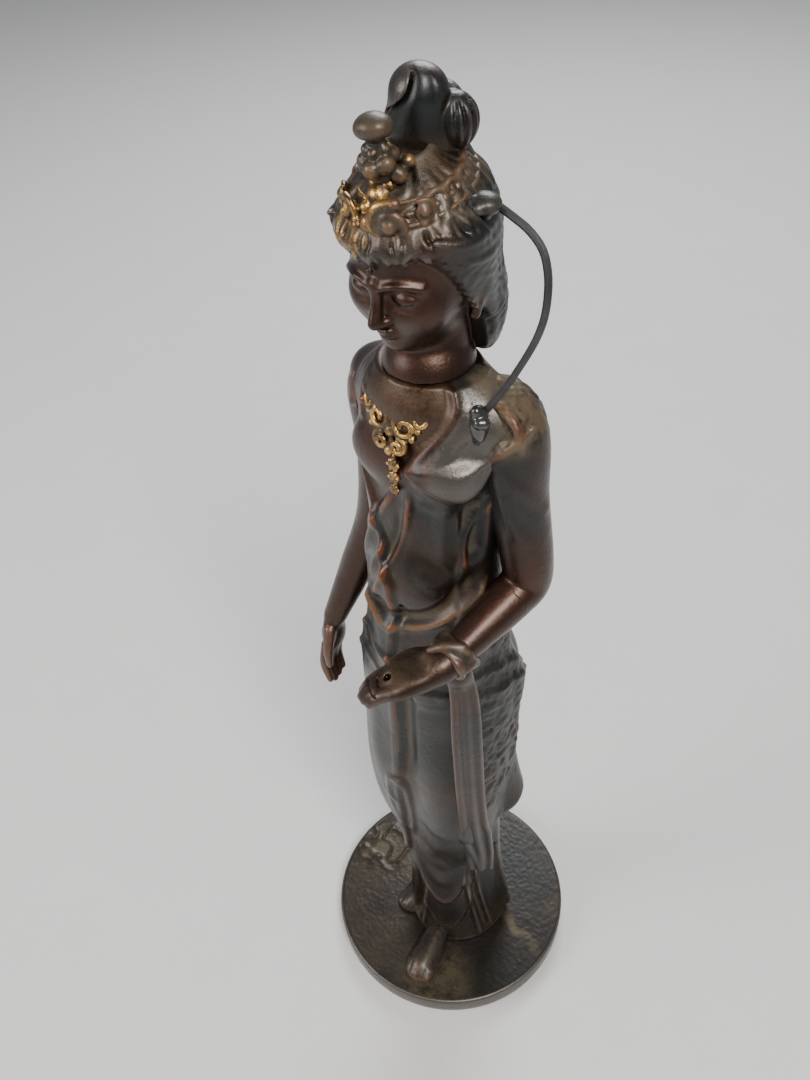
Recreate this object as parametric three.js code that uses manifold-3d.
// Standing robed figure in cast bronze on a round disc base, about 320 mm tall.
// Units are millimetres. +Z is up, the figure looks along -Y, and its own left is +X.
// The origin is the centre of the base's underside.
import * as THREE from "three";
import { mergeVertices } from "three/addons/utils/BufferGeometryUtils.js";
import Module from "manifold-3d";

const wasm = await Module();
wasm.setup();

// ---------------------------------------------------------------- driving dimensions
const GAP = 0.3; // air between two pieces that are fitted to each other
const DOWEL_PLAY = 0.3; // radial play of a dowel, stud or tenon in its hole

const BASE_RADIUS = 44;
const BASE_THICKNESS = 8;
const BASE_RIM_WIDTH = 6; // ring that the base stands on
const BASE_RECESS_DEPTH = 4.6;
const BASE_EDGE_BEVEL = 0.5;
const BASE_WALL_DRAFT = 0.8; // how far the side wall draws in towards the floor

const STUD_RADIUS = 2;
const NUT_ACROSS_CORNERS = 8;
const NUT_HEIGHT = 2.6;
const WASHER_RADIUS = 5;
const WASHER_THICKNESS = 0.8;
const STUD_ENGAGEMENT = 7; // depth of the stud in the bridge bar

const SKIRT_LENGTH = 182; // hem to waist
const TORSO_LENGTH = 66; // waist to the root of the neck
const NECK_LENGTH = 10;
const HEAD_HEIGHT = 39; // chin to the crown of the hair
const TOPKNOT_HEIGHT = 15; // above the crown of the hair

const HEM_HALF_WIDTH = 20;
const HEM_HALF_DEPTH = 23;
const SHIN_HALF_WIDTH = 17;
const SHIN_HALF_DEPTH = 16.5;
const KNEE_HALF_WIDTH = 22.5;
const HIP_HALF_WIDTH = 25;
const HIP_HALF_DEPTH = 18;
const WAIST_HALF_WIDTH = 20;
const WAIST_HALF_DEPTH = 15;
const CHEST_HALF_WIDTH = 22;
const CHEST_HALF_DEPTH = 15;
const SHOULDER_DROP = 11; // arm ball below the root of the neck
const NECK_RADIUS = 8.5;
const BODY_WALL = 4; // least wall of the hollow body casting
const CORE_HALF_WIDTH = 15.2; // most the round foundry core reaches to each side

const FLAP_THICKNESS = 5; // over-robe panel that hangs at the left hip
const FLAP_LENGTH = 88;
const FLAP_HALF_WIDTH = 8;
const FOLD_RADIUS = 1.9; // rolled folds of cloth on the robe
const FOLD_DROP = 26; // how far each hanging fold dips in the middle

const HEAD_HALF_WIDTH = 15;
const HEAD_HALF_DEPTH = 16.5;
const NECK_TENON_RADIUS = 4.5;
const NECK_TENON_LENGTH = 8;

const CROWN_BAND_HEIGHT = 6;
const CROWN_BAND_THICKNESS = 2;
const FINIAL_RADIUS = 3;
const FINIAL_STEM_RADIUS = 1;
const FINIAL_STEM_LENGTH = 4;
const CROWN_BOSS_RADIUS = 4.2;
const CROWN_BOSS_TURN = 38; // degrees round the head from the front

const ARM_RADIUS = 7.5;
const WRIST_RADIUS = 4.2;
const HAND_LENGTH = 24;
const HAND_HALF_WIDTH = 5.2;
const HAND_HALF_THICKNESS = 3.4;
const PALM_HOLE_RADIUS = 1.1;
const ARM_DOWEL_RADIUS = 1.5;
const ARM_DOWEL_LENGTH = 12;
const BRACELET_WIDTH = 4.5;
const BRACELET_THICKNESS = 1;

const SCARF_WIDTH = 8;
const SCARF_THICKNESS = 3;
const SCARF_LENGTH = 116;

const WIRE_CORE_RADIUS = 0.4;
const WIRE_BORE_RADIUS = 0.48;
const WIRE_SHEATH_RADIUS = 0.85;
const WIRE_BOW = 15; // how far the loop stands out from the line between its ends
const WIRE_STEPS = 40; // stretches that the wire is drawn in
const WIRE_BARE_LENGTH = 3;
const ANCHOR_RADIUS = 2.6;
const ANCHOR_LENGTH = 9;

const NECKLACE_THICKNESS = 1.6;
const NECKLACE_WIDTH = 19;
const NECKLACE_HEIGHT = 15;
const BEAD_RADIUS = 1.7;
const BEAD_COUNT = 3;

const FOOT_LENGTH = 21;
const FOOT_HALF_WIDTH = 5.8;
const FOOT_HEIGHT = 6;
const FOOT_SPREAD = 7.5; // of each foot from the middle
const FOOT_STRIDE = 17; // the right foot stands this much further back
const FOOT_TURN = THREE.MathUtils.degToRad(10); // each foot points outwards

// ---------------------------------------------------------------- levels worked out from them
const HEM_LEVEL = BASE_THICKNESS + GAP;
const WAIST_LEVEL = HEM_LEVEL + SKIRT_LENGTH;
const NECK_ROOT = WAIST_LEVEL + TORSO_LENGTH;
const CHIN_LEVEL = NECK_ROOT + NECK_LENGTH;
const CROWN_LEVEL = CHIN_LEVEL + HEAD_HEIGHT;
const SHOULDER_LEVEL = NECK_ROOT - SHOULDER_DROP;
const ELBOW_LEVEL = WAIST_LEVEL + 0.09 * TORSO_LENGTH;
const SHOULDER_X = CHEST_HALF_WIDTH;
const SHOULDER_Y = 4;
const BODY_CENTRE_Y = 1;
const HEAD_CENTRE_Y = 1;

// ---------------------------------------------------------------- finishes
function finish(colour, roughness, metalness) {
  return new THREE.MeshStandardMaterial({ color: colour, roughness, metalness });
}
const SKIN_BRONZE = () => finish(0x4a2a1a, 0.38, 0.9);
const ROBE_BRONZE = () => finish(0x2e2a26, 0.4, 0.9);
const HAIR_BRONZE = () => finish(0x22201d, 0.42, 0.9);
const BASE_BRONZE = () => finish(0x3a3226, 0.5, 0.85);
const GILT = () => finish(0xb98a35, 0.32, 1);
const STEEL = () => finish(0x8a8782, 0.45, 1);
const BLACK_SHEATH = () => finish(0x1c1c1c, 0.55, 0);
const COPPER = () => finish(0x8a4b32, 0.4, 1);
const BLACK_CEMENT = () => finish(0x0c0d0c, 0.2, 0.1);

// ---------------------------------------------------------------- solids from three.js geometry
// A closed three.js geometry as a manifold-3d solid.
function solid(geometry) {
  const bare = geometry.index ? geometry.toNonIndexed() : geometry.clone();
  bare.deleteAttribute("normal");
  bare.deleteAttribute("uv");
  const merged = mergeVertices(bare, 1e-4);
  return new wasm.Manifold(
    new wasm.Mesh({
      numProp: 3,
      vertProperties: merged.attributes.position.array,
      triVerts: new Uint32Array(merged.index.array),
    }),
  );
}

// A manifold-3d solid back as a BufferGeometry.
function geometryOf(body) {
  const mesh = body.getMesh();
  const step = mesh.numProp;
  const places = new Float32Array(mesh.numVert * 3);
  for (let i = 0; i < mesh.numVert; i++) {
    places.set(mesh.vertProperties.subarray(i * step, i * step + 3), i * 3);
  }
  const geometry = new THREE.BufferGeometry();
  geometry.setAttribute("position", new THREE.BufferAttribute(places, 3));
  geometry.setIndex(new THREE.BufferAttribute(mesh.triVerts, 1));
  geometry.computeVertexNormals();
  return geometry;
}

// A closed cylinder whose every vertex is placed by place(t, p, q): t runs 0 to 1 along it,
// and (p, q) is a point of the unit disc.
function warpedCylinder(around, along, place) {
  const geometry = new THREE.CylinderGeometry(1, 1, 1, around, along);
  const points = geometry.attributes.position;
  for (let i = 0; i < points.count; i++) {
    const spot = place(points.getY(i) + 0.5, points.getX(i), -points.getZ(i));
    points.setXYZ(i, spot.x, spot.y, spot.z);
  }
  return geometry;
}

// A column of smooth oval sections { z, x, y, a, b }: level, centre, half width, half depth.
// grow makes every section larger by that much, for cutting a neighbour with some air.
function column(sections, around, along, grow = 0) {
  const sizes = new THREE.CatmullRomCurve3(
    sections.map((s) => new THREE.Vector3(s.a, s.b, s.z)),
  );
  const centres = new THREE.CatmullRomCurve3(
    sections.map((s) => new THREE.Vector3(s.x ?? 0, s.y ?? 0, 0)),
  );
  return solid(
    warpedCylinder(around, along, (t, p, q) => {
      const size = sizes.getPoint(t);
      const centre = centres.getPoint(t);
      const end = t === 0 ? -grow : t === 1 ? grow : 0;
      return new THREE.Vector3(
        centre.x + (size.x + grow) * p,
        centre.y + (size.y + grow) * q,
        size.z + end,
      );
    }),
  );
}

// A limb along a curve through points, with an oval section at each point: { at, a, b }.
function limb(stations, around, along, grow = 0) {
  const path = new THREE.CatmullRomCurve3(stations.map((s) => s.at));
  const sizes = new THREE.CatmullRomCurve3(
    stations.map((s) => new THREE.Vector3(s.a, s.b ?? s.a, 0)),
  );
  const frames = path.computeFrenetFrames(along, false);
  return solid(
    warpedCylinder(around, along, (t, p, q) => {
      const ring = Math.round(t * along);
      const size = sizes.getPoint(t);
      return path
        .getPoint(t)
        .addScaledVector(frames.normals[ring], (size.x + grow) * p)
        .addScaledVector(frames.binormals[ring], (size.y + grow) * q);
    }),
  );
}

// A round bar from one point to another.
function bar(from, to, radius, sides = 12) {
  const length = from.distanceTo(to);
  const geometry = new THREE.CylinderGeometry(radius, radius, length, sides);
  const along = new THREE.Vector3().subVectors(to, from).normalize();
  geometry.applyQuaternion(
    new THREE.Quaternion().setFromUnitVectors(new THREE.Vector3(0, 1, 0), along),
  );
  const middle = new THREE.Vector3().addVectors(from, to).multiplyScalar(0.5);
  geometry.translate(middle.x, middle.y, middle.z);
  return solid(geometry);
}

// An ellipsoid with half sizes (a, b, c) about a centre.
function ellipsoid(centre, a, b, c, around = 12, rings = 8) {
  const geometry = new THREE.SphereGeometry(1, around, rings);
  geometry.scale(a, b, c);
  geometry.translate(centre.x, centre.y, centre.z);
  return solid(geometry);
}

const V = (x, y, z) => new THREE.Vector3(x, y, z);

// ---------------------------------------------------------------- base and its fastening
function baseDisc() {
  const foot = BASE_RADIUS - BASE_WALL_DRAFT;
  const inner = foot - BASE_RIM_WIDTH;
  const bore = STUD_RADIUS + DOWEL_PLAY;
  const profile = [
    [bore, BASE_RECESS_DEPTH],
    [inner, BASE_RECESS_DEPTH],
    [inner, 0],
    [foot, 0],
    [BASE_RADIUS, BASE_THICKNESS - BASE_EDGE_BEVEL],
    [BASE_RADIUS - BASE_EDGE_BEVEL, BASE_THICKNESS],
    [bore, BASE_THICKNESS],
    [bore, BASE_RECESS_DEPTH],
  ];
  const geometry = new THREE.LatheGeometry(profile.map(([r, z]) => new THREE.Vector2(r, z)), 48);
  geometry.rotateX(Math.PI / 2);
  return solid(geometry);
}

const BRIDGE_LEVEL = HEM_LEVEL + 10; // underside of the bar that the stud screws into
const BRIDGE_THICKNESS = STUD_ENGAGEMENT + 2;
const NUT_TOP = BASE_RECESS_DEPTH - GAP - WASHER_THICKNESS - GAP;

function baseStud() {
  return bar(V(0, 0, NUT_TOP - NUT_HEIGHT - GAP), V(0, 0, BRIDGE_LEVEL + STUD_ENGAGEMENT), STUD_RADIUS);
}

function washer() {
  const top = BASE_RECESS_DEPTH - GAP;
  const outer = bar(V(0, 0, top - WASHER_THICKNESS), V(0, 0, top), WASHER_RADIUS, 24);
  return outer.subtract(bar(V(0, 0, 0), V(0, 0, BASE_THICKNESS), STUD_RADIUS + DOWEL_PLAY));
}

function nut() {
  const hexagon = bar(V(0, 0, NUT_TOP - NUT_HEIGHT), V(0, 0, NUT_TOP), NUT_ACROSS_CORNERS / 2, 6);
  return hexagon.subtract(bar(V(0, 0, -1), V(0, 0, BASE_THICKNESS), STUD_RADIUS + DOWEL_PLAY));
}

// ---------------------------------------------------------------- body casting
const skirtLevel = (share) => HEM_LEVEL + share * SKIRT_LENGTH;
const torsoLevel = (share) => WAIST_LEVEL + share * TORSO_LENGTH;

const BODY_SECTIONS = [
  { z: HEM_LEVEL, x: 4, y: 2, a: HEM_HALF_WIDTH, b: HEM_HALF_DEPTH },
  { z: skirtLevel(0.08), x: 3.5, y: 1.5, a: HEM_HALF_WIDTH - 1, b: HEM_HALF_DEPTH - 4 },
  { z: skirtLevel(0.26), x: 2.5, y: 1, a: SHIN_HALF_WIDTH, b: SHIN_HALF_DEPTH },
  { z: skirtLevel(0.4), x: 1, y: 0.5, a: KNEE_HALF_WIDTH, b: SHIN_HALF_DEPTH + 1 },
  { z: skirtLevel(0.6), x: 0, y: 0, a: HIP_HALF_WIDTH, b: HIP_HALF_DEPTH - 1 },
  { z: skirtLevel(0.8), x: 0, y: 0, a: HIP_HALF_WIDTH, b: HIP_HALF_DEPTH },
  { z: WAIST_LEVEL, x: 0, y: 0, a: WAIST_HALF_WIDTH, b: WAIST_HALF_DEPTH },
  { z: torsoLevel(0.4), x: 0, y: BODY_CENTRE_Y, a: CHEST_HALF_WIDTH - 1, b: CHEST_HALF_DEPTH },
  { z: torsoLevel(0.72), x: 0, y: BODY_CENTRE_Y, a: CHEST_HALF_WIDTH, b: CHEST_HALF_DEPTH - 1 },
  { z: torsoLevel(0.89), x: 0, y: BODY_CENTRE_Y, a: 0.84 * CHEST_HALF_WIDTH, b: 0.75 * CHEST_HALF_DEPTH },
  { z: NECK_ROOT, x: 0, y: BODY_CENTRE_Y, a: NECK_RADIUS + 2, b: NECK_RADIUS },
];

function bodyOutside(grow = 0) {
  return column(BODY_SECTIONS, 28, 22, grow);
}

// The core space, open at the hem and closed below the chest.
function bodyHollow() {
  const open = { ...BODY_SECTIONS[0], z: 0 };
  const sections = [open, ...BODY_SECTIONS.slice(1, 8)].map((s) => ({
    ...s,
    a: Math.min(s.a - BODY_WALL, CORE_HALF_WIDTH),
    b: Math.min(s.b - BODY_WALL, CORE_HALF_WIDTH),
  }));
  return column(sections, 16, 12);
}

// A rolled fold across the front of the robe, from the right hip to the left one.
function hangingFold(level, share) {
  const width = share * HIP_HALF_WIDTH;
  const depth = share * HIP_HALF_DEPTH;
  const stations = [-75, -40, 0, 40, 75].map((degrees) => {
    const angle = THREE.MathUtils.degToRad(degrees);
    const dip = FOLD_DROP * (Math.cos(angle) ** 2 - 1);
    return {
      at: V(width * Math.sin(angle), -depth * Math.cos(angle), level - FOLD_DROP - dip),
      a: FOLD_RADIUS,
      b: FOLD_RADIUS,
    };
  });
  return limb(stations, 7, 12);
}

// The shawl's rolled edge: over the left shoulder, across the chest and under the right arm.
function shawlRoll() {
  const depth = CHEST_HALF_DEPTH - BODY_CENTRE_Y;
  return limb(
    [
      { at: V(0.74 * CHEST_HALF_WIDTH, 0.6 * depth, torsoLevel(0.84)), a: FOLD_RADIUS },
      { at: V(0.72 * CHEST_HALF_WIDTH, -0.3 * depth, torsoLevel(0.89)), a: FOLD_RADIUS + 0.6 },
      { at: V(0.5 * CHEST_HALF_WIDTH, -0.86 * depth, torsoLevel(0.7)), a: FOLD_RADIUS + 0.6 },
      { at: V(-0.1 * CHEST_HALF_WIDTH, -depth, torsoLevel(0.46)), a: FOLD_RADIUS + 0.4 },
      { at: V(-0.72 * CHEST_HALF_WIDTH, -0.62 * depth, torsoLevel(0.3)), a: FOLD_RADIUS },
    ],
    7,
    12,
  );
}

// The sash knotted below the waist.
function sash() {
  const level = WAIST_LEVEL - 0.1 * SKIRT_LENGTH;
  return column(
    [-1, 0, 1].map((side) => ({
      z: level + side * 3.2,
      a: 0.5 * (WAIST_HALF_WIDTH + HIP_HALF_WIDTH) + 1.5 - Math.abs(side),
      b: 0.5 * (WAIST_HALF_DEPTH + HIP_HALF_DEPTH) + 1.5 - Math.abs(side),
    })),
    26,
    2,
  );
}

function hipFlap() {
  const top = skirtLevel(0.34) + FLAP_LENGTH;
  const side = KNEE_HALF_WIDTH;
  const thickness = FLAP_THICKNESS / 2;
  return limb(
    [
      { at: V(side - 2, 5, top), a: thickness, b: FLAP_HALF_WIDTH - 2 },
      { at: V(side, 6, top - 0.5 * FLAP_LENGTH), a: thickness, b: FLAP_HALF_WIDTH },
      { at: V(side, 7, top - FLAP_LENGTH), a: thickness, b: FLAP_HALF_WIDTH + 1 },
    ],
    12,
    6,
  );
}

// Where each hanging fold starts at the hips, and how wide it is against the hips.
const FOLD_LEVELS = [
  [skirtLevel(0.86), 0.98],
  [skirtLevel(0.68), 0.96],
  [skirtLevel(0.52), 0.9],
  [skirtLevel(0.36), 0.76],
];

function robedBody(cuts) {
  const bridge = new THREE.BoxGeometry(12, 2 * HEM_HALF_DEPTH - BODY_WALL, BRIDGE_THICKNESS);
  bridge.translate(0, BODY_SECTIONS[1].y, BRIDGE_LEVEL + BRIDGE_THICKNESS / 2);
  const bridgeBar = solid(bridge).intersect(bodyOutside());
  const threaded = bar(V(0, 0, 0), V(0, 0, BRIDGE_LEVEL + STUD_ENGAGEMENT + GAP), STUD_RADIUS + DOWEL_PLAY);
  const cloth = [
    hipFlap(),
    sash(),
    shawlRoll(),
    ...FOLD_LEVELS.map(([level, share]) => hangingFold(level, share)),
  ];
  const clothClearOfArms = cloth
    .reduce((whole, piece) => whole.add(piece))
    .subtract(limb(RIGHT_ARM, 14, 18, GAP))
    .subtract(limb(LEFT_UPPER_ARM, 14, 14, GAP))
    .subtract(necklacePlate(GAP))
    .subtract([...Array(BEAD_COUNT).keys()].map((i) => pendantBead(i, GAP)).reduce((a, b) => a.add(b)));
  let body = bodyOutside()
    .add(clothClearOfArms)
    .subtract(bodyHollow())
    .add(bridgeBar)
    .subtract(threaded);
  for (const cut of cuts) {
    body = body.subtract(cut);
  }
  return body;
}

// ---------------------------------------------------------------- feet
function foot(side) {
  const stride = side < 0 ? FOOT_STRIDE : 0;
  const heel = V(side * FOOT_SPREAD, -HEM_HALF_DEPTH + 6 + stride, 0);
  const turned = side * FOOT_TURN;
  const sections = [0, 0.35, 0.75, 1].map((share, i) => ({
    at: V(
      heel.x + Math.sin(turned) * share * FOOT_LENGTH,
      heel.y - Math.cos(turned) * share * FOOT_LENGTH,
      BASE_THICKNESS + GAP + 0.35 * FOOT_HEIGHT,
    ),
    a: FOOT_HEIGHT * [0.6, 0.55, 0.42, 0.3][i],
    b: FOOT_HALF_WIDTH * [0.75, 0.85, 1, 0.7][i],
  }));
  const floor = new THREE.BoxGeometry(80, 80, 40);
  floor.translate(heel.x, heel.y, HEM_LEVEL - 20);
  return limb(sections, 14, 8).subtract(solid(floor)).subtract(bodyOutside(GAP));
}

// ---------------------------------------------------------------- head, hair and topknot
const HEAD_SECTIONS = [
  { share: 0, a: 0.42, b: 0.42, y: -3.5 },
  { share: 0.1, a: 0.62, b: 0.68, y: -2.5 },
  { share: 0.35, a: 0.9, b: 0.95, y: 0 },
  { share: 0.6, a: 1.02, b: 1.02, y: 0.5 },
  { share: 0.82, a: 0.9, b: 0.88, y: 1 },
  { share: 0.95, a: 0.56, b: 0.55, y: 1.5 },
  { share: 1, a: 0.26, b: 0.26, y: 2 },
].map((s) => ({
  z: CHIN_LEVEL + s.share * HEAD_HEIGHT,
  y: HEAD_CENTRE_Y + s.y,
  a: s.a * HEAD_HALF_WIDTH,
  b: s.b * HEAD_HALF_DEPTH,
}));

function skull(grow = 0) {
  return column(HEAD_SECTIONS, 24, 11, grow);
}

function head() {
  const neckTop = V(0, HEAD_CENTRE_Y, CHIN_LEVEL + 0.3 * HEAD_HEIGHT);
  const neck = bar(V(0, BODY_CENTRE_Y, NECK_ROOT + GAP), neckTop, NECK_RADIUS, 20);
  const tenon = bar(V(0, BODY_CENTRE_Y, NECK_ROOT - NECK_TENON_LENGTH), neckTop, NECK_TENON_RADIUS);
  const backHair = column(
    [
      { z: NECK_ROOT - 4, y: HEAD_CENTRE_Y + 7, a: HEAD_HALF_WIDTH - 4, b: 6 },
      { z: CHIN_LEVEL, y: HEAD_CENTRE_Y + 7, a: HEAD_HALF_WIDTH - 3.5, b: 7 },
      { z: CHIN_LEVEL + 0.5 * HEAD_HEIGHT, y: HEAD_CENTRE_Y + 5, a: HEAD_HALF_WIDTH - 2, b: 9 },
    ],
    20,
    5,
  );
  return skull()
    .add(neck)
    .add(backHair.subtract(bodyOutside(GAP)))
    .add(tenon)
    .subtract(bar(TOPKNOT_DOWEL.from, TOPKNOT_DOWEL.to, ARM_DOWEL_RADIUS + DOWEL_PLAY));
}

const TOPKNOT_FOOT = V(0, HEAD_CENTRE_Y + 3, CROWN_LEVEL);
const TOPKNOT_DOWEL = {
  from: TOPKNOT_FOOT.clone().add(V(0, 0, -6)),
  to: TOPKNOT_FOOT.clone().add(V(0, 0, 6)),
};

function topknot() {
  const middle = TOPKNOT_FOOT.clone().add(V(0, 0, TOPKNOT_HEIGHT - 7));
  const lobes = [
    ellipsoid(middle.clone().add(V(0, -1, 1.2)), 6.4, 5.4, 5.8),
    ellipsoid(middle.clone().add(V(5.4, 1.5, -1.6)), 4.6, 4.4, 5.2),
    ellipsoid(middle.clone().add(V(-5, 0.5, -1.8)), 4.4, 4.4, 5),
    column(
      [
        { z: CROWN_LEVEL - 3, y: TOPKNOT_FOOT.y, a: 6.6, b: 6 },
        { z: CROWN_LEVEL + 1, y: TOPKNOT_FOOT.y, a: 4.6, b: 4.4 },
        { z: CROWN_LEVEL + TOPKNOT_HEIGHT - 8, y: TOPKNOT_FOOT.y, a: 5, b: 4.6 },
      ],
      16,
      5,
    ),
  ];
  return lobes
    .reduce((a, b) => a.add(b))
    .subtract(skull(GAP))
    .subtract(bar(TOPKNOT_DOWEL.from, TOPKNOT_DOWEL.to, ARM_DOWEL_RADIUS + DOWEL_PLAY));
}

// ---------------------------------------------------------------- crown
const CROWN_LEVEL_MIDDLE = CHIN_LEVEL + 0.74 * HEAD_HEIGHT;

function onHead(degrees, out, level) {
  const angle = THREE.MathUtils.degToRad(degrees);
  return V(
    Math.sin(angle) * (HEAD_HALF_WIDTH + out),
    HEAD_CENTRE_Y - Math.cos(angle) * (HEAD_HALF_DEPTH + out),
    level,
  );
}

function crownBand() {
  const low = CROWN_LEVEL_MIDDLE - CROWN_BAND_HEIGHT / 2;
  const outer = column(
    [0, 0.5, 1].map((share) => ({
      z: low + share * CROWN_BAND_HEIGHT,
      y: HEAD_CENTRE_Y + 0.7,
      a: HEAD_HALF_WIDTH + CROWN_BAND_THICKNESS - share,
      b: HEAD_HALF_DEPTH + CROWN_BAND_THICKNESS - share,
    })),
    24,
    2,
  );
  return outer.subtract(skull(GAP));
}

function crownBoss(degrees, radius) {
  const centre = onHead(degrees, CROWN_BAND_THICKNESS, CROWN_LEVEL_MIDDLE);
  const boss = ellipsoid(centre, radius, radius, radius, 12, 8);
  return boss.subtract(crownBandSpace()).subtract(skull(GAP));
}

// The air that a boss takes up, with a gap all round it.
function crownBossSpace(degrees) {
  const radius = CROWN_BOSS_RADIUS + GAP;
  return ellipsoid(onHead(degrees, CROWN_BAND_THICKNESS, CROWN_LEVEL_MIDDLE), radius, radius, radius, 12, 8);
}

function crownBandSpace() {
  const half = CROWN_BAND_HEIGHT / 2 + GAP;
  return column(
    [0, 0.5, 1].map((share) => ({
      z: CROWN_LEVEL_MIDDLE - half + share * 2 * half,
      y: HEAD_CENTRE_Y + 0.7,
      a: HEAD_HALF_WIDTH + CROWN_BAND_THICKNESS - share + GAP,
      b: HEAD_HALF_DEPTH + CROWN_BAND_THICKNESS - share + GAP,
    })),
    24,
    2,
  );
}

function crownFront() {
  const plate = column(
    [
      { z: CROWN_LEVEL_MIDDLE - 4, y: HEAD_CENTRE_Y - HEAD_HALF_DEPTH - 2, a: 5, b: 2.4 },
      { z: CROWN_LEVEL_MIDDLE + 2, y: HEAD_CENTRE_Y - HEAD_HALF_DEPTH - 1, a: 8, b: 3 },
      { z: CROWN_LEVEL_MIDDLE + 6, y: FINIAL_Y - 1, a: 5, b: 2.6 },
      { z: FINIAL_SEAT, y: FINIAL_Y, a: 2, b: 1.8 },
    ],
    16,
    8,
  );
  return [-1, 1].reduce(
    (kept, side) => kept.subtract(crownBossSpace(side * CROWN_BOSS_TURN)),
    plate.subtract(crownBandSpace()).subtract(skull(GAP)),
  );
}

const FINIAL_SEAT = CROWN_LEVEL_MIDDLE + 11;
const FINIAL_Y = HEAD_CENTRE_Y - 0.8 * HEAD_HALF_DEPTH;

function crownFinial() {
  const foot = V(0, FINIAL_Y, FINIAL_SEAT + GAP);
  const ballCentre = foot.clone().add(V(0, 0, FINIAL_STEM_LENGTH + 0.7 * FINIAL_RADIUS));
  const stem = bar(foot, ballCentre, FINIAL_STEM_RADIUS);
  return stem.add(ellipsoid(ballCentre, FINIAL_RADIUS, FINIAL_RADIUS, FINIAL_RADIUS));
}

// ---------------------------------------------------------------- arms
const RIGHT_ARM = [
  { at: V(-SHOULDER_X + 6, SHOULDER_Y, SHOULDER_LEVEL + 4), a: ARM_RADIUS - 3 },
  { at: V(-SHOULDER_X + 3, SHOULDER_Y, SHOULDER_LEVEL - 3), a: ARM_RADIUS - 0.4 },
  { at: V(-SHOULDER_X + 1.5, SHOULDER_Y + 1, SHOULDER_LEVEL - 22), a: ARM_RADIUS - 0.7 },
  { at: V(-SHOULDER_X - 1.5, SHOULDER_Y, ELBOW_LEVEL - 2), a: ARM_RADIUS - 1.2 },
  { at: V(-SHOULDER_X - 6, SHOULDER_Y - 6, ELBOW_LEVEL - 22), a: ARM_RADIUS - 2 },
  { at: V(-SHOULDER_X - 10.5, SHOULDER_Y - 11, ELBOW_LEVEL - 38), a: WRIST_RADIUS - 0.7, b: WRIST_RADIUS },
];

function rightHand(wrist) {
  return limb(
    [
      { at: wrist.clone().add(V(0, 0, 3)), a: WRIST_RADIUS - 1, b: WRIST_RADIUS },
      { at: wrist.clone().add(V(0, -1.5, -0.35 * HAND_LENGTH)), a: HAND_HALF_THICKNESS, b: HAND_HALF_WIDTH },
      {
        at: wrist.clone().add(V(-1, -3, -0.7 * HAND_LENGTH)),
        a: HAND_HALF_THICKNESS - 1,
        b: HAND_HALF_WIDTH - 0.5,
      },
      { at: wrist.clone().add(V(-1, -3.5, -HAND_LENGTH)), a: 1.2, b: HAND_HALF_WIDTH - 2.6 },
    ],
    12,
    8,
  );
}

function rightArm() {
  const wrist = RIGHT_ARM[RIGHT_ARM.length - 1].at;
  return limb(RIGHT_ARM, 14, 18).add(rightHand(wrist)).subtract(bodyOutside(GAP));
}

const LEFT_UPPER_ARM = [
  { at: V(SHOULDER_X - 4, SHOULDER_Y, SHOULDER_LEVEL + 4), a: ARM_RADIUS - 3 },
  { at: V(SHOULDER_X, SHOULDER_Y, SHOULDER_LEVEL - 3), a: ARM_RADIUS },
  { at: V(SHOULDER_X + 3, SHOULDER_Y, SHOULDER_LEVEL - 22), a: ARM_RADIUS + 0.2 },
  { at: V(SHOULDER_X + 4, SHOULDER_Y, ELBOW_LEVEL), a: ARM_RADIUS - 0.5 },
];
const ELBOW = LEFT_UPPER_ARM[3].at;
const LEFT_WRIST = ELBOW.clone().add(V(-6, -29, -9));
const LEFT_TIPS = LEFT_WRIST.clone().add(V(-15, -15, -7).setLength(HAND_LENGTH));
const ELBOW_PLANE = V(-0.1, -0.96, -0.25).normalize(); // forearm runs this way from the elbow

function halfSpace(point, direction) {
  const block = new THREE.BoxGeometry(80, 80, 80);
  block.translate(0, 0, 40);
  block.applyQuaternion(new THREE.Quaternion().setFromUnitVectors(V(0, 0, 1), direction));
  block.translate(point.x, point.y, point.z);
  return solid(block);
}

function elbowPoint(distance) {
  return ELBOW.clone().addScaledVector(ELBOW_PLANE, distance);
}

function leftUpperArm() {
  const stations = [...LEFT_UPPER_ARM, { at: ELBOW.clone().add(V(-0.5, -1, -5)), a: ARM_RADIUS - 3 }];
  const cut = ARM_RADIUS - 2;
  return limb(stations, 14, 14)
    .subtract(halfSpace(elbowPoint(cut), ELBOW_PLANE))
    .subtract(bodyOutside(GAP));
}

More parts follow.
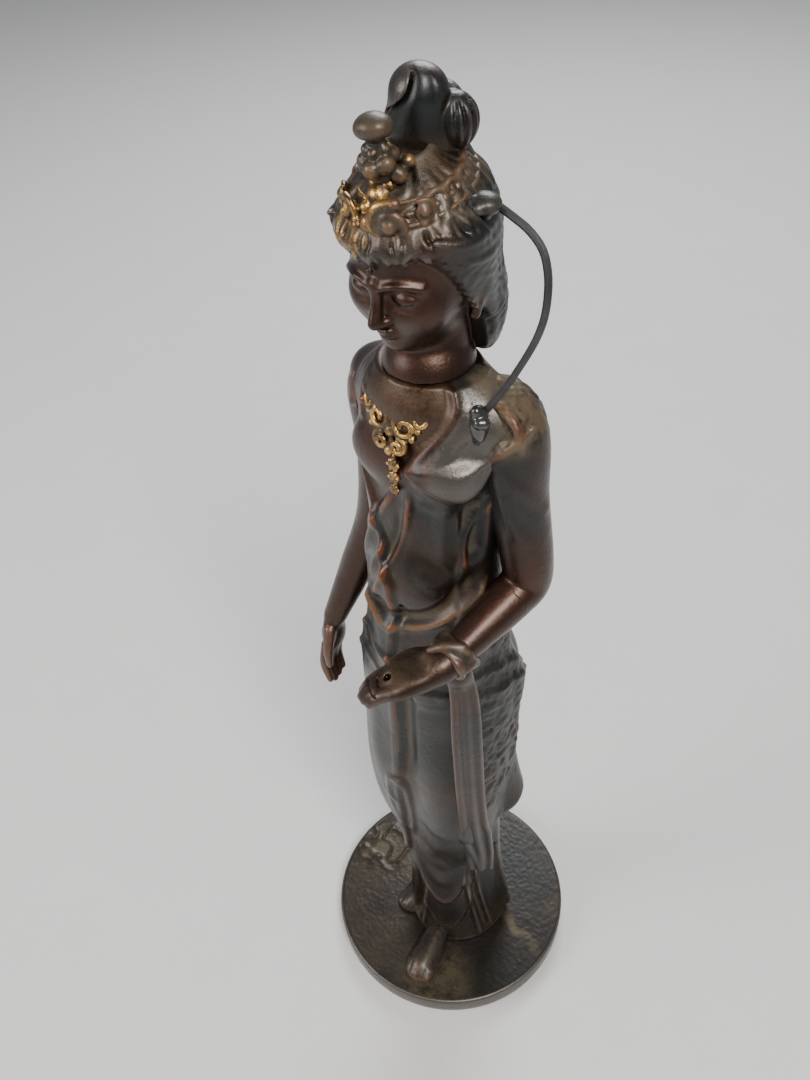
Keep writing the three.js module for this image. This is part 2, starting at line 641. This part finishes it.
function leftForearm() {
  const cut = ARM_RADIUS - 2;
  const forearm = limb(
    [
      { at: elbowPoint(cut - 5), a: ARM_RADIUS - 0.8 },
      { at: elbowPoint(cut + 6), a: ARM_RADIUS - 1 },
      { at: LEFT_WRIST.clone().lerp(elbowPoint(cut), 0.3), a: WRIST_RADIUS + 0.8 },
      { at: LEFT_WRIST, a: WRIST_RADIUS },
    ],
    14,
    12,
  ).subtract(halfSpace(elbowPoint(cut + GAP), ELBOW_PLANE.clone().negate()));
  const hand = limb(
    [
      { at: LEFT_WRIST.clone().lerp(LEFT_TIPS, -0.12), a: WRIST_RADIUS - 0.4 },
      { at: LEFT_WRIST.clone().lerp(LEFT_TIPS, 0.2), a: HAND_HALF_THICKNESS, b: HAND_HALF_WIDTH - 0.6 },
      { at: LEFT_WRIST.clone().lerp(LEFT_TIPS, 0.6), a: HAND_HALF_THICKNESS, b: HAND_HALF_WIDTH },
      { at: LEFT_WRIST.clone().lerp(LEFT_TIPS, 1), a: 1.3, b: HAND_HALF_WIDTH - 2.2 },
    ],
    12,
    8,
  );
  const holeSpot = LEFT_WRIST.clone().lerp(LEFT_TIPS, 0.6);
  const hole = bar(holeSpot, holeSpot.clone().add(V(0, 0, 12)), PALM_HOLE_RADIUS);
  return forearm.add(hand).subtract(hole).subtract(bodyOutside(GAP));
}

function bracelet() {
  const start = LEFT_WRIST.clone().lerp(ELBOW, 0.02);
  const along = new THREE.Vector3().subVectors(ELBOW, LEFT_WRIST).normalize();
  const end = start.clone().addScaledVector(along, BRACELET_WIDTH);
  const ring = bar(start, end, WRIST_RADIUS + 1.6 + BRACELET_THICKNESS, 20);
  const before = start.clone().addScaledVector(along, -1);
  const beyond = end.clone().addScaledVector(along, 1);
  return ring.subtract(bar(before, beyond, WRIST_RADIUS + 1.6, 20));
}

// Dowels: { from, to } across each joint of the arms.
const DOWELS = {
  arm_right_dowel: dowelAt(V(-SHOULDER_X + 3, SHOULDER_Y, SHOULDER_LEVEL - 6), V(-1, 0, 0)),
  arm_left_dowel: dowelAt(V(SHOULDER_X - 3, SHOULDER_Y, SHOULDER_LEVEL - 6), V(1, 0, 0)),
  forearm_dowel: dowelAt(elbowPoint(ARM_RADIUS - 2), ELBOW_PLANE),
};

function dowelAt(middle, direction) {
  return {
    from: middle.clone().addScaledVector(direction, -ARM_DOWEL_LENGTH / 2),
    to: middle.clone().addScaledVector(direction, ARM_DOWEL_LENGTH / 2),
  };
}

const dowelPin = (name) => bar(DOWELS[name].from, DOWELS[name].to, ARM_DOWEL_RADIUS);

function dowelHole(name) {
  const { from, to } = DOWELS[name];
  const along = new THREE.Vector3().subVectors(to, from).normalize().multiplyScalar(GAP);
  return bar(from.clone().sub(along), to.clone().add(along), ARM_DOWEL_RADIUS + DOWEL_PLAY);
}

// ---------------------------------------------------------------- scarf from the left wrist
function scarf(keepOut) {
  const top = LEFT_WRIST.clone().add(V(2.5, 2, -WRIST_RADIUS - 1.6 - BRACELET_THICKNESS - GAP - 1));
  const foot = V(KNEE_HALF_WIDTH - 1, -0.35 * SHIN_HALF_DEPTH, top.z - SCARF_LENGTH);
  const upper = V(top.x + 1, top.y + 3, top.z - 0.2 * SCARF_LENGTH);
  const middle = V(top.x + 2, top.y + 9, top.z - 0.5 * SCARF_LENGTH);
  const a = SCARF_THICKNESS / 2;
  const strip = limb(
    [
      { at: top, a, b: 0.4 * SCARF_WIDTH },
      { at: upper, a, b: 0.42 * SCARF_WIDTH },
      { at: middle, a, b: 0.48 * SCARF_WIDTH },
      { at: foot, a, b: SCARF_WIDTH / 2 },
    ],
    10,
    10,
  );
  return keepOut.reduce((kept, other) => kept.subtract(other), strip);
}

// ---------------------------------------------------------------- wire loop at the left side
const WIRE_TOP = onHead(97, -0.46 * ANCHOR_RADIUS, CHIN_LEVEL + 0.8 * HEAD_HEIGHT);
const WIRE_FOOT = V(0.8 * CHEST_HALF_WIDTH, BODY_CENTRE_Y - 0.36 * CHEST_HALF_DEPTH, torsoLevel(0.905));

function wirePath() {
  const chord = new THREE.Vector3().subVectors(WIRE_FOOT, WIRE_TOP);
  const out = V(1, 0, 0);
  const at = (share, bow) =>
    WIRE_TOP.clone().addScaledVector(chord, share).addScaledVector(out, bow * WIRE_BOW);
  return new THREE.CatmullRomCurve3([at(0, 0), at(0.15, 0.9), at(0.42, 1), at(0.74, 0.55), at(1, 0)]);
}

// The stretch of the wire path between two shares of its length.
function wireStretch(from, to) {
  const whole = wirePath();
  const points = [];
  for (let i = 0; i <= 12; i++) {
    points.push(whole.getPointAt(from + ((to - from) * i) / 12));
  }
  return new THREE.CatmullRomCurve3(points);
}

function ring(radius, sides) {
  const shape = new THREE.Shape();
  for (let i = 0; i < sides; i++) {
    const angle = (2 * Math.PI * i) / sides;
    const point = [radius * Math.cos(angle), radius * Math.sin(angle)];
    if (i === 0) shape.moveTo(...point);
    else shape.lineTo(...point);
  }
  shape.closePath();
  return shape;
}

const WIRE_LENGTH = wirePath().getLength();
const BARE_SHARE = WIRE_BARE_LENGTH / WIRE_LENGTH;

function wireSheath() {
  const section = ring(WIRE_SHEATH_RADIUS, 8);
  section.holes.push(ring(WIRE_BORE_RADIUS, 8));
  const path = wireStretch(BARE_SHARE, 1 - BARE_SHARE);
  const settings = { steps: WIRE_STEPS, bevelEnabled: false, extrudePath: path };
  return solid(new THREE.ExtrudeGeometry(section, settings));
}

function wireCore() {
  const path = wireStretch(0, 1);
  const section = ring(WIRE_CORE_RADIUS, 6);
  const settings = { steps: WIRE_STEPS, bevelEnabled: false, extrudePath: path };
  return solid(new THREE.ExtrudeGeometry(section, settings));
}

function anchor(at, direction, grow = 0) {
  const base = at.clone().addScaledVector(direction, -0.25 * ANCHOR_LENGTH);
  return limb(
    [
      { at: base, a: 0.45 * ANCHOR_RADIUS },
      { at: base.clone().addScaledVector(direction, 0.3 * ANCHOR_LENGTH), a: ANCHOR_RADIUS },
      { at: base.clone().addScaledVector(direction, 0.65 * ANCHOR_LENGTH), a: 0.8 * ANCHOR_RADIUS },
      { at: base.clone().addScaledVector(direction, ANCHOR_LENGTH), a: 0.4 * ANCHOR_RADIUS },
    ],
    12,
    7,
    grow,
  );
}

// ---------------------------------------------------------------- necklace
const NECKLACE_LEVEL = torsoLevel(0.79);

function necklacePlate(grow = 0) {
  const middle = NECKLACE_LEVEL;
  const outline = new THREE.Shape();
  outline.absellipse(0, 0, NECKLACE_WIDTH / 2 + grow, NECKLACE_HEIGHT / 2 + grow, 0, 2 * Math.PI, false, 0);
  const prism = new THREE.ExtrudeGeometry(outline, {
    depth: 2 * CHEST_HALF_DEPTH,
    bevelEnabled: false,
    curveSegments: 10,
  });
  prism.rotateX(Math.PI / 2);
  prism.translate(0, 0, middle);
  const reach = grow > 0 ? 2 * NECKLACE_THICKNESS : NECKLACE_THICKNESS;
  return solid(prism).intersect(bodyOutside(GAP + reach)).subtract(bodyOutside(grow > 0 ? 0 : GAP));
}

function chestPoint(level, out) {
  const share = (level - torsoLevel(0.4)) / (torsoLevel(0.72) - torsoLevel(0.4));
  return V(0, BODY_CENTRE_Y - CHEST_HALF_DEPTH + share - out, level);
}

function pendantBead(index, grow = 0) {
  const level = NECKLACE_LEVEL - NECKLACE_HEIGHT / 2 - (2 * BEAD_RADIUS + GAP) * (index + 0.5) - GAP;
  const radius = BEAD_RADIUS + grow;
  const bead = ellipsoid(chestPoint(level, 0.9), radius, radius, radius, 10, 7);
  return bead.subtract(bodyOutside(grow > 0 ? 0 : GAP));
}

// ---------------------------------------------------------------- assembly
const group = new THREE.Group();

function put(name, body, material) {
  const mesh = new THREE.Mesh(geometryOf(body), material);
  mesh.name = name;
  group.add(mesh);
}

const tenonHole = bar(
  V(0, BODY_CENTRE_Y, NECK_ROOT - NECK_TENON_LENGTH - GAP),
  V(0, BODY_CENTRE_Y, NECK_ROOT + 1),
  NECK_TENON_RADIUS + DOWEL_PLAY,
);
const wireEnd = wirePath();
const RESIN_DIRECTION = V(-0.1, -0.3, -0.95).normalize(); // the resin ran down the shoulder
const lowerAnchor = anchor(WIRE_FOOT, RESIN_DIRECTION);
const lowerAnchorSpace = anchor(WIRE_FOOT, RESIN_DIRECTION, GAP);
const upperAnchor = anchor(WIRE_TOP, wireEnd.getTangent(0));
const wireSpace = solid(
  new THREE.ExtrudeGeometry(ring(WIRE_CORE_RADIUS + DOWEL_PLAY, 8), {
    steps: WIRE_STEPS,
    bevelEnabled: false,
    extrudePath: wireStretch(0, 1),
  }),
);
const sheathSpace = solid(
  new THREE.ExtrudeGeometry(ring(WIRE_SHEATH_RADIUS + GAP, 8), {
    steps: WIRE_STEPS,
    bevelEnabled: false,
    extrudePath: wireStretch(BARE_SHARE, 1 - BARE_SHARE),
  }),
);

put("base_disc", baseDisc(), BASE_BRONZE());
put("base_stud", baseStud(), STEEL());
put("base_washer", washer(), STEEL());
put("base_nut", nut(), STEEL());
put(
  "robed_body",
  robedBody([
    tenonHole,
    dowelHole("arm_right_dowel"),
    dowelHole("arm_left_dowel"),
    wireSpace,
    lowerAnchorSpace,
  ]),
  ROBE_BRONZE(),
);
put("foot_left", foot(1), SKIN_BRONZE());
put("foot_right", foot(-1), SKIN_BRONZE());
put("head", head().subtract(wireSpace), SKIN_BRONZE());
put("topknot", topknot(), HAIR_BRONZE());
const knotPinFoot = TOPKNOT_DOWEL.from.clone().add(V(0, 0, GAP));
const knotPinTop = TOPKNOT_DOWEL.to.clone().add(V(0, 0, -GAP));
put("topknot_dowel", bar(knotPinFoot, knotPinTop, ARM_DOWEL_RADIUS), STEEL());
put("crown_band", crownBand().subtract(upperAnchor), GILT());
put("crown_front", crownFront(), GILT());
put("crown_boss_left", crownBoss(CROWN_BOSS_TURN, CROWN_BOSS_RADIUS), GILT());
put("crown_boss_right", crownBoss(-CROWN_BOSS_TURN, CROWN_BOSS_RADIUS), GILT());
put("crown_finial", crownFinial(), GILT());
put("arm_right", rightArm().subtract(dowelHole("arm_right_dowel")), SKIN_BRONZE());
put(
  "arm_left_upper",
  leftUpperArm().subtract(dowelHole("arm_left_dowel")).subtract(dowelHole("forearm_dowel")),
  SKIN_BRONZE(),
);
put("forearm_left", leftForearm().subtract(dowelHole("forearm_dowel")), SKIN_BRONZE());
for (const name of Object.keys(DOWELS)) {
  put(name, dowelPin(name), STEEL());
}
put("bracelet_left", bracelet().subtract(bodyOutside(GAP)), GILT());
put("scarf_left", scarf([bodyOutside(GAP)]), ROBE_BRONZE());
put("wire_sheath", wireSheath(), BLACK_SHEATH());
put("wire_core", wireCore(), COPPER());
const clearOfWire = (lump) => lump.subtract(wireSpace).subtract(sheathSpace);
put("wire_anchor_lower", clearOfWire(lowerAnchor.subtract(bodyOutside(GAP))), BLACK_CEMENT());
put("wire_anchor_upper", clearOfWire(upperAnchor.subtract(skull(GAP))), HAIR_BRONZE());
put("necklace_plate", necklacePlate(), GILT());
for (let index = 0; index < BEAD_COUNT; index++) {
  put(`pendant_bead_${index + 1}`, pendantBead(index), GILT());
}

export default group;
